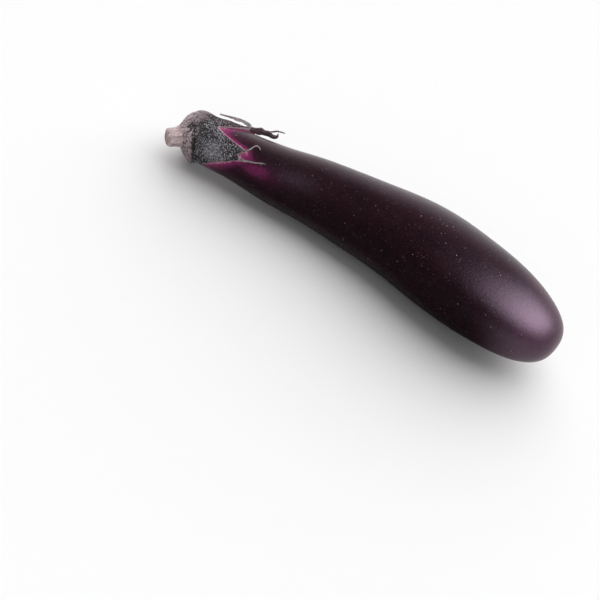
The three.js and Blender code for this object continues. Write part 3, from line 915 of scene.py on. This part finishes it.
def add(tree, kind, inputs=None, **settings):
    """A node of a kind, with its settings, and its inputs linked or filled in."""
    node = tree.nodes.new(kind)
    for name, value in settings.items():
        setattr(node, name, value)
    for name, value in (inputs or {}).items():
        fill(tree, node.inputs[name], value)
    return node


def sums(tree, operation, first, second):
    """Two values put together by a Math node."""
    return add(tree, "ShaderNodeMath", {0: first, 1: second}, operation=operation).outputs[0]


def times(tree, first, second):
    """Two values multiplied."""
    return sums(tree, "MULTIPLY", first, second)


def mix(tree, factor, first, second):
    """Passes from the first colour to the second as the factor goes from 0 to 1."""
    node = add(tree, "ShaderNodeMix", data_type="RGBA")
    for index, value in ((0, factor), (6, first), (7, second)):
        fill(tree, node.inputs[index], value)
    return node.outputs[2]


def spread(tree, value, low, high, to_low=0.0, to_high=1.0):
    """A value carried from one range to another, held at both ends."""
    ranges = {"Value": value, "From Min": low, "From Max": high, "To Min": to_low, "To Max": to_high}
    return add(tree, "ShaderNodeMapRange", ranges).outputs["Result"]


def coats(tree, colour, layers):
    """Lays colours over one another; each has a mask, its range, a strength and the colour."""
    for mask, low, high, strength, coat in layers:
        colour = mix(tree, spread(tree, mask, low, high, 0, strength), colour, coat)
    return colour


print("middle grey on a screen, as light:", round(seen(128, 128, 128)[0], 4))

# %% [markdown]
# A finish reads the values that its mesh keeps, and it uses effects: node groups with sockets of their
# own. An effect only gives masks, so the surface shader stays in the finish and can be tuned there.

# %% Effects and finishes
def stored(tree, name, output="Fac"):
    """A value that the mesh keeps at its points."""
    return add(tree, "ShaderNodeAttribute", attribute_name=name).outputs[output]


def effect(name, inputs, outputs):
    """An empty node group with named sockets, and its two ends."""
    tree = bpy.data.node_groups.new(name, "ShaderNodeTree")
    for socket, kind, value in inputs:
        made = tree.interface.new_socket(socket, in_out="INPUT", socket_type="NodeSocket" + kind)
        if value is not None:
            made.default_value = value
    for socket, kind in outputs:
        tree.interface.new_socket(socket, in_out="OUTPUT", socket_type="NodeSocket" + kind)
    return tree, tree.nodes.new("NodeGroupInput").outputs, tree.nodes.new("NodeGroupOutput").inputs


def use(tree, group, **values):
    """Places an effect in a finish with its own values."""
    node = add(tree, "ShaderNodeGroup", node_tree=group)
    for name, value in values.items():
        fill(tree, node.inputs[name.replace("_", " ")], value)
    return node.outputs


def finish_for(name):
    """A new finish, its nodes and its surface shader."""
    material = bpy.data.materials.new(name)
    material.use_nodes = True
    tree = material.node_tree
    return material, tree, tree.nodes["Principled BSDF"]


def matt(tree, surface, grain, least, most, specular):
    """A surface with little gloss, which a fine grain makes uneven."""
    fill(tree, surface.inputs["Roughness"], spread(tree, grain, 0.3, 0.7, least, most))
    surface.inputs["Specular IOR Level"].default_value = specular


def relief(tree, surface, height, strength, distance):
    """Bumps a surface by a height, over a distance in metres."""
    bump = add(tree, "ShaderNodeBump", {"Height": height, "Strength": strength, "Distance": distance})
    fill(tree, surface.inputs["Normal"], bump.outputs[0])


def dress(material, *pieces):
    """Gives pieces their finish."""
    for piece in pieces:
        piece.data.materials.append(material)
    print(material.name, len(material.node_tree.nodes), "nodes, on", len(pieces), "pieces")


finish_helpers = (stored, effect, use, finish_for, matt, relief, dress)
print("finish helpers:", [helper.__name__ for helper in finish_helpers])

# %% [markdown]
# Mottle is the soft cloudiness that living skin, leaf and bark all have, and a finer grain with it. Every
# finish of the eggplant uses it, at its own fineness.

# %% Mottle
GRAIN_FINER = 9.0
mottle, given, result = effect(
    "mottle",
    [("Place", "Vector", None), ("Fineness", "Float", 0.2), ("Contrast", "Float", 0.3)],
    [("Cloud", "Float"), ("Grain", "Float")],
)
cloud = add(mottle, "ShaderNodeTexNoise", {
    "Vector": given["Place"], "Scale": given["Fineness"], "Detail": 4.0, "Roughness": 0.6,
})
low = sums(mottle, "SUBTRACT", 0.5, given["Contrast"])
high = sums(mottle, "ADD", 0.5, given["Contrast"])
fill(mottle, result["Cloud"], spread(mottle, cloud.outputs["Fac"], low, high))
grains = add(mottle, "ShaderNodeTexNoise", {
    "Vector": given["Place"], "Scale": times(mottle, given["Fineness"], GRAIN_FINER), "Detail": 2.0,
})
fill(mottle, result["Grain"], grains.outputs["Fac"])
print(mottle.name, len(mottle.nodes), "nodes")

# %% [markdown]
# Specks are small separate dots: wax and dust on the skin, felt and flecks on the calyx, pores in the
# cork. Voronoi cells give each dot a place of its own, and only a share of the cells has one.

# %% Specks
SPECK_CORE = 0.55
specks, given, result = effect(
    "specks",
    [("Place", "Vector", None), ("Per mm", "Float", 1.0), ("Size", "Float", 0.3), ("Share", "Float", 0.5)],
    [("Mask", "Float")],
)
cells = add(specks, "ShaderNodeTexVoronoi", {"Vector": given["Place"], "Scale": given["Per mm"]})
core = times(specks, given["Size"], SPECK_CORE)
dot = spread(specks, cells.outputs["Distance"], given["Size"], core)
pick = add(specks, "ShaderNodeSeparateColor", {"Color": cells.outputs["Color"]})
chosen = sums(specks, "LESS_THAN", pick.outputs[0], given["Share"])
fill(specks, result["Mask"], times(specks, dot, chosen))
print(specks.name, len(specks.nodes), "nodes")

# %% [markdown]
# Fibres are streaks along the axis, as in the stem, the knob and the dry strips, and very faint in the
# gloss of the skin. They are noise that is stretched along the axis.

# %% Fibres
fibres, given, result = effect(
    "fibres",
    [("Place", "Vector", None), ("Per mm", "Float", 1.0), ("Stretch", "Float", 0.15)],
    [("Streak", "Float")],
)
squeeze = add(fibres, "ShaderNodeCombineXYZ", {"X": given["Stretch"], "Y": 1.0, "Z": 1.0})
drawn = add(
    fibres, "ShaderNodeVectorMath", {0: given["Place"], 1: squeeze.outputs[0]}, operation="MULTIPLY"
)
streak = add(fibres, "ShaderNodeTexNoise", {
    "Vector": drawn.outputs[0], "Scale": given["Per mm"], "Detail": 3.0, "Distortion": 0.6,
})
fill(fibres, result["Streak"], streak.outputs["Fac"])
print(fibres.name, len(fibres.nodes), "nodes")

# %% [markdown]
# The skin is almost black: dark red-purple clouds, fine mottling and faint scuffs. Wax with a painted
# sheen lightens the top of the neck to grey and the blossom end to mauve. One dark colour under a shiny
# coat would look like plastic close up, so each of these is mixed in softly, by its own mask.

# %% Skin colours
SKIN_DARK, SKIN_PURPLE, SKIN_MOTTLE = seen(5, 1, 1), seen(27, 4, 6), seen(50, 16, 22)
# the last two are wax colours that also paint a sheen on the neck's top and the blossom end
SCUFF, HAZE, NECK_WAX_SHEEN, END_WAX_SHEEN = seen(58, 35, 40), seen(54, 31, 35), seen(92, 82, 78), seen(84, 52, 68)
skin, tree, surface = finish_for("eggplant_skin")
where = stored(tree, "straight", "Vector")
clouds = use(tree, mottle, Place=where, Fineness=0.07, Contrast=0.2)
fine = use(tree, mottle, Place=where, Fineness=0.9, Contrast=0.25)
scuffs = use(tree, mottle, Place=where, Fineness=0.3, Contrast=0.16)
hazy = times(tree, stored(tree, "haze"), spread(tree, fine["Cloud"], 0.1, 0.9, 0.35, 1.0))
# the blossom end's wax, with a painted sheen
waxed_with_sheen = times(tree, stored(tree, "end_wax_sheen"), spread(tree, fine["Cloud"], 0, 1, 0.4, 0.8))
colour = coats(tree, mix(tree, clouds["Cloud"], SKIN_DARK, SKIN_PURPLE), [
    (fine["Cloud"], 0.15, 0.95, 0.5, SKIN_MOTTLE),
    (times(tree, scuffs["Cloud"], scuffs["Grain"]), 0.3, 0.65, 0.24, SCUFF),
    (hazy, 0, 1, 0.18, HAZE),
    # wax with a painted sheen on the neck's top and on the blossom end
    (stored(tree, "neck_wax_sheen"), 0, 1, 0.8, NECK_WAX_SHEEN),
    (waxed_with_sheen, 0, 1, 1, END_WAX_SHEEN),
])
print("skin colours:", len(tree.nodes), "nodes")

# %% [markdown]
# Near the calyx the skin passes through deep magenta and magenta to pink. Tiny pale specks of wax and
# dust sit on it, sparse over all of it and dense in the clusters, and the blossom scar is brown.

# %% Skin blush and dust
DEEP_MAGENTA, MAGENTA, PINK = seen(70, 14, 46), seen(146, 44, 104), seen(222, 150, 172)
DUST, SCAR = seen(214, 204, 208), seen(112, 88, 74)
blushing = times(tree, stored(tree, "blush"), spread(tree, fine["Cloud"], 0, 1, 0.6, 1.2))
colour = coats(tree, colour, [
    (blushing, 0.03, 0.35, 1, DEEP_MAGENTA),
    (blushing, 0.2, 0.6, 1, MAGENTA),
    (blushing, 0.6, 0.95, 1, PINK),
])
scattered = spread(tree, clouds["Grain"], 0.38, 0.58)
clustered = stored(tree, "dusted")
dust_layers = [
    # specks per millimetre, size, share of places with one, strength, and where they are
    (0.36, 0.09, 0.5, 1, scattered),
    (1.1, 0.2, 0.25, 0.35, scattered),
    (1.1, 0.22, 0.4, 0.6, clustered),
]
for per_mm, size, share, strength, found in dust_layers:
    dust = use(tree, specks, Place=where, Per_mm=per_mm, Size=size, Share=share)
    colour = coats(tree, colour, [(times(tree, dust["Mask"], found), 0, 1, strength, DUST)])
colour = mix(tree, stored(tree, "scar"), colour, SCAR)
fill(tree, surface.inputs["Base Color"], colour)
print("skin with blush and dust:", len(tree.nodes), "nodes")

# %% [markdown]
# The gloss carries the picture. It is satin rather than mirror-like, a little streaked along the fruit,
# more matt where wax lies on the blossom end, and dull on the scar. Two very low bumps, dimples and a
# finer grain, break the highlight. Reflections from such a skin are tinted purple.

# %% Skin gloss
SATIN, STREAKS, WAX_MATT, SCAR_MATT = (0.29, 0.36), 0.008, 0.08, 0.4
streaks = use(tree, fibres, Place=where, Per_mm=0.4, Stretch=0.12)
gloss = spread(tree, fine["Grain"], 0.3, 0.7, *SATIN)
for mask, low, high, least, most in (
    (streaks["Streak"], 0.3, 0.7, -STREAKS, STREAKS),
    (stored(tree, "scar"), 0, 1, 0, SCAR_MATT),
    (stored(tree, "end_wax_sheen"), 0, 1, 0, WAX_MATT),
):
    gloss = sums(tree, "ADD", gloss, spread(tree, mask, low, high, least, most))
fill(tree, surface.inputs["Roughness"], gloss)
dimples = add(tree, "ShaderNodeBump", {"Height": scuffs["Cloud"], "Strength": 0.025, "Distance": 0.001})
grain = add(tree, "ShaderNodeBump", {
    "Height": fine["Cloud"], "Strength": 0.14, "Distance": 0.0004, "Normal": dimples.outputs[0],
})
fill(tree, surface.inputs["Normal"], grain.outputs[0])
surface.inputs["Specular IOR Level"].default_value = 0.5
surface.inputs["Specular Tint"].default_value = (0.95, 0.7, 1, 1)
surface.inputs["Coat Weight"].default_value = 0.1
surface.inputs["Coat Roughness"].default_value = 0.22
dress(skin, fruit)

# %% [markdown]
# The calyx is dark grey-purple under pale felt, and dusky on its upper lobe. Its knob is bald and mauve,
# with painted shade behind and below, the crease is painted nearly black as shade with pale flecks beside
# it, and the lobes have a pale dry rim with a painted catch-light. The places kept on the mesh put each
# colour where it belongs, and specks stand for the felt between the hairs.

# %% Calyx finish
LEAF_DARK, LEAF_PALE, FELT_PATCH = seen(14, 11, 13), seen(40, 35, 39), seen(120, 118, 127)
FUZZ, DUSKY = seen(154, 150, 157), seen(60, 45, 52)
BARK_DARK, BARK_PALE = seen(84, 68, 73), seen(224, 204, 210)
# the last colour is painted shade for the bark behind and under the knob
BARK_SPOT, BARK_SHADE = seen(92, 73, 80), seen(98, 83, 89)
# painted shade for the crease, flecks, and a pale rim with a painted catch-light
CREASE_SHADE, FLECK, PALE_RIM_AND_GLINT = seen(30, 22, 27), seen(222, 208, 204), seen(224, 184, 198)
leaf, tree, surface = finish_for("eggplant_calyx")
where = stored(tree, "straight", "Vector")
clouds = use(tree, mottle, Place=where, Fineness=0.22, Contrast=0.2)
felt = use(tree, specks, Place=where, Per_mm=1.25, Size=0.5, Share=0.5)
flecks = use(tree, specks, Place=where, Per_mm=0.8, Size=0.48, Share=0.5)
streaks = use(tree, fibres, Place=where, Per_mm=0.8, Stretch=0.3)
covered = spread(tree, stored(tree, "felt"), 0.1, 0.7, 0.1, 0.42)
felted = coats(tree, mix(tree, clouds["Cloud"], LEAF_DARK, LEAF_PALE), [
    (stored(tree, "pale"), 0, 1, 0.8, FELT_PATCH),
    (times(tree, felt["Mask"], covered), 0, 1, 1, FUZZ),
    (stored(tree, "dusky"), 0, 1, 0.85, DUSKY),
])
bark = coats(tree, mix(tree, spread(tree, streaks["Streak"], 0.34, 0.62), BARK_DARK, BARK_PALE), [
    (clouds["Grain"], 0.5, 0.7, 0.4, BARK_SPOT),
    # painted shade on the bark behind and under the knob
    (stored(tree, "bark_shade"), 0, 1, 0.75, BARK_SHADE),
])
colour = coats(tree, mix(tree, stored(tree, "knob"), felted, bark), [
    # painted shade in the crease and its pits
    (stored(tree, "crease"), 0.1, 0.8, 0.88, CREASE_SHADE),
    (times(tree, flecks["Mask"], stored(tree, "flecks")), 0, 1, 0.9, FLECK),
    # the pale dry rim, partly a painted catch-light
    (stored(tree, "rim"), 0.15, 0.8, 0.9, PALE_RIM_AND_GLINT),
])
fill(tree, surface.inputs["Base Color"], colour)
relief(tree, surface, sums(tree, "ADD", felt["Mask"], streaks["Streak"]), 0.5, 0.0003)
matt(tree, surface, clouds["Grain"], 0.7, 0.9, 0.25)
dress(leaf, calyx)

# %% [markdown]
# The strips have lost their felt and dried to grey or mauve paper: streaks along them, darker stains and
# bleached edges. How mauve a strip is, its mesh keeps, so one finish does for all of them.

# %% Strip finish
GREY_DARK, GREY_PALE = seen(78, 72, 74), seen(178, 170, 170)
MAUVE_DARK, MAUVE_PALE = seen(46, 32, 39), seen(104, 82, 91)
STAIN, BLEACHED = seen(70, 46, 56), seen(190, 176, 178)
dry, tree, surface = finish_for("eggplant_dry_strip")
where = stored(tree, "straight", "Vector")
streaks = use(tree, fibres, Place=where, Per_mm=1.5, Stretch=0.15)
clouds = use(tree, mottle, Place=where, Fineness=0.3, Contrast=0.2)
streaky = spread(tree, streaks["Streak"], 0.3, 0.7)
grey = mix(tree, streaky, GREY_DARK, GREY_PALE)
mauve = mix(tree, streaky, MAUVE_DARK, MAUVE_PALE)
colour = coats(tree, mix(tree, stored(tree, "mauve"), grey, mauve), [
    (clouds["Cloud"], 0.3, 1, 0.5, STAIN),
    (stored(tree, "rim"), 0.1, 0.9, 0.6, BLEACHED),
])
fill(tree, surface.inputs["Base Color"], colour)
relief(tree, surface, streaks["Streak"], 0.6, 0.0004)
matt(tree, surface, clouds["Grain"], 0.7, 0.95, 0.25)
dress(dry, *strips)

# %% [markdown]
# A hair is too thin to show a pattern, so it only needs to differ from its neighbours: very fine mottle
# gives each its own grey.

# %% Hair finish
HAIR_DARK, HAIR_PALE = seen(100, 94, 100), seen(226, 224, 230)
hair_finish, tree, surface = finish_for("eggplant_hair")
spot = add(tree, "ShaderNodeTexCoord").outputs["Object"]
per_hair = use(tree, mottle, Place=spot, Fineness=900.0, Contrast=0.25)
fill(tree, surface.inputs["Base Color"], mix(tree, per_hair["Cloud"], HAIR_DARK, HAIR_PALE))
fill(tree, surface.inputs["Roughness"], spread(tree, per_hair["Grain"], 0.3, 0.7, 0.6, 0.8))
dress(hair_finish, hairs)

# %% [markdown]
# The stem's bark is pale mauve-brown with streaks along it, and the cut face is greyish cork with open
# pores. Bark and cork are two colours of one finish, because the cork starts under the bark's rim.

# %% Stem finish
STEM_DARK, STEM_PALE = seen(142, 119, 121), seen(226, 204, 204)
CORK_DARK, CORK_PALE, PORE = seen(146, 126, 122), seen(198, 178, 170), seen(112, 86, 66)
stem_finish, tree, surface = finish_for("eggplant_stem")
where = stored(tree, "straight", "Vector")
streaks = use(tree, fibres, Place=where, Per_mm=0.9, Stretch=0.25)
clouds = use(tree, mottle, Place=where, Fineness=0.5, Contrast=0.2)
pores = use(tree, specks, Place=where, Per_mm=1.6, Size=0.35, Share=0.4)
bark = mix(tree, spread(tree, streaks["Streak"], 0.3, 0.7), STEM_DARK, STEM_PALE)
cork = mix(tree, clouds["Cloud"], CORK_DARK, CORK_PALE)
cork = coats(tree, cork, [(pores["Mask"], 0, 1, 0.5, PORE)])
fill(tree, surface.inputs["Base Color"], mix(tree, stored(tree, "cut"), bark, cork))
relief(tree, surface, streaks["Streak"], 0.5, 0.0004)
matt(tree, surface, clouds["Grain"], 0.65, 0.9, 0.3)
dress(stem_finish, stem)

# %% [markdown]
# The floor is plain pale paper, large enough to fill every view. A glossy dark thing shows its
# surroundings more than its own colour, so in reflections alone the floor in front of it is dim, which
# keeps its lower side dark.

# %% Floor
FLOOR_REACH, FLOOR_DROP = 4, 0.0002
PALE, DIM = (0.86, 0.86, 0.86, 1), (0.05, 0.05, 0.05, 1)
DIM_BEHIND, DIM_FRONT = 0.02, -0.03
DIM_RIGHT, DIM_LEFT = 0.11, 0.08
floor_mesh = bpy.data.meshes.new("floor")
corners = [(x * FLOOR_REACH, y * FLOOR_REACH, 0) for x, y in ((-1, -1), (1, -1), (1, 1), (-1, 1))]
floor_mesh.from_pydata(corners, [], [(0, 1, 2, 3)])
floor = bpy.data.objects.new("floor", floor_mesh)
floor.location.z = -FLOOR_DROP
bpy.context.scene.collection.objects.link(floor)
paper, tree, surface = finish_for("pale_floor")
spot = add(tree, "ShaderNodeSeparateXYZ", {0: add(tree, "ShaderNodeTexCoord").outputs["Object"]})
in_front = spread(tree, spot.outputs["Y"], DIM_BEHIND, DIM_FRONT)
not_right = spread(tree, spot.outputs["X"], DIM_RIGHT, DIM_LEFT)
mirrored = add(tree, "ShaderNodeLightPath").outputs["Is Glossy Ray"]
dim = times(tree, times(tree, in_front, not_right), mirrored)
fill(tree, surface.inputs["Base Color"], mix(tree, dim, PALE, DIM))
surface.inputs["Roughness"].default_value = 0.9
surface.inputs["Specular IOR Level"].default_value = 0.1
floor_mesh.materials.append(paper)
print("floor:", 2 * FLOOR_REACH, "metres wide")

# %% [markdown]
# The room is part of the finish too. It is darkest in front and above and brightens to the back, which
# draws a grey rim along the upper edge. A picture of a real room would do, but a ramp of greys by
# direction is all that shows. Seen directly, the room is as pale as the floor.

# %% Room
ROOM_DARK = Vector((0.06, -0.6, 0.8)).normalized()
ROOM_PALE = (0.97, 0.97, 0.97, 1)
ROOM_LEVELS = [
    # how far a direction faces the dark side, -1 to 1, and how bright the room is there
    (-0.5, 0.95), (-0.29, 0.85), (-0.03, 0.5), (0.23, 0.17), (0.47, 0.05), (0.8, 0.02), (0.95, 0.01),
]
room = bpy.data.worlds.new("room")
room.use_nodes = True
bpy.context.scene.world = room
tree = room.node_tree
back = tree.nodes["Background"]
look = add(tree, "ShaderNodeTexCoord").outputs["Generated"]
towards = add(tree, "ShaderNodeVectorMath", {0: look, 1: ROOM_DARK}, operation="DOT_PRODUCT")
ramp = add(tree, "ShaderNodeValToRGB", {"Fac": spread(tree, towards.outputs["Value"], -1, 1)})
while len(ramp.color_ramp.elements) < len(ROOM_LEVELS):
    ramp.color_ramp.elements.new(0.5)
for stop, (facing, level) in zip(ramp.color_ramp.elements, ROOM_LEVELS):
    stop.position = (facing + 1) / 2
    stop.color = (level, level, level, 1)
direct = add(tree, "ShaderNodeLightPath").outputs["Is Camera Ray"]
fill(tree, back.inputs["Color"], mix(tree, direct, ramp.outputs["Color"], ROOM_PALE))
back.inputs["Strength"].default_value = 1.0
print("room:", len(ramp.color_ramp.elements), "levels of grey")

# %% [markdown]
# A soft box high on the right makes the broad highlight on the blossom end. It fades from its middle, as
# a lamp behind cloth does, and it only shows in reflections. Two very soft suns, one from the back and a
# weaker one from the front, light the floor evenly however far it runs; they stay out of reflections.

# %% Lights
BLOSSOM_INSET = Vector((0.025, 0.045, 0.005))
BOX_AZIMUTH, BOX_ELEVATION, BOX_ENERGY = 75, 57, 92
BOX_WIDTH, BOX_HEIGHT, BOX_DISTANCE = 2.6, 1.3, 0.8
BOX_MIDDLE, BOX_EDGE, BOX_CORE, BOX_POWER = (0.5, 0.5, 0), 0.5, 0.12, 1.5
SUNS = {"back_sun": (165, 52, 3.5), "front_sun": (10, 45, 0.6)}
SUN_SOFTNESS = math.radians(100)


def lamp_towards(name, kind, azimuth, elevation, energy):
    """A lamp in a direction from the eggplant, facing it."""
    out = direction(math.radians(azimuth), math.radians(elevation))
    data = bpy.data.lights.new(name, kind)
    data.energy = energy
    lamp = bpy.data.objects.new(name, data)
    lamp.location = out
    lamp.rotation_euler = out.to_track_quat("Z", "Y").to_euler()
    bpy.context.scene.collection.objects.link(lamp)
    return lamp


blossom = Vector(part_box("fruit")[1]) - BLOSSOM_INSET
soft_box = lamp_towards("soft_box", "AREA", BOX_AZIMUTH, BOX_ELEVATION, BOX_ENERGY)
soft_box.location = blossom + soft_box.location * BOX_DISTANCE
soft_box.data.shape = "RECTANGLE"
soft_box.data.size, soft_box.data.size_y = BOX_WIDTH, BOX_HEIGHT
soft_box.visible_diffuse = False
soft_box.data.use_nodes = True
tree = soft_box.data.node_tree
on_box = add(tree, "ShaderNodeNewGeometry").outputs["Parametric"]
off_middle = add(tree, "ShaderNodeVectorMath", {0: on_box, 1: BOX_MIDDLE}, operation="DISTANCE")
fade = spread(tree, off_middle.outputs["Value"], BOX_EDGE, BOX_CORE)
fill(tree, tree.nodes["Emission"].inputs["Strength"], sums(tree, "POWER", fade, BOX_POWER))
for name, (azimuth, elevation, energy) in SUNS.items():
    sun = lamp_towards(name, "SUN", azimuth, elevation, energy)
    sun.data.angle = SUN_SOFTNESS
    sun.visible_glossy = False

scene = bpy.context.scene
scene.view_settings.view_transform = "Standard"
scene.view_settings.look = "None"
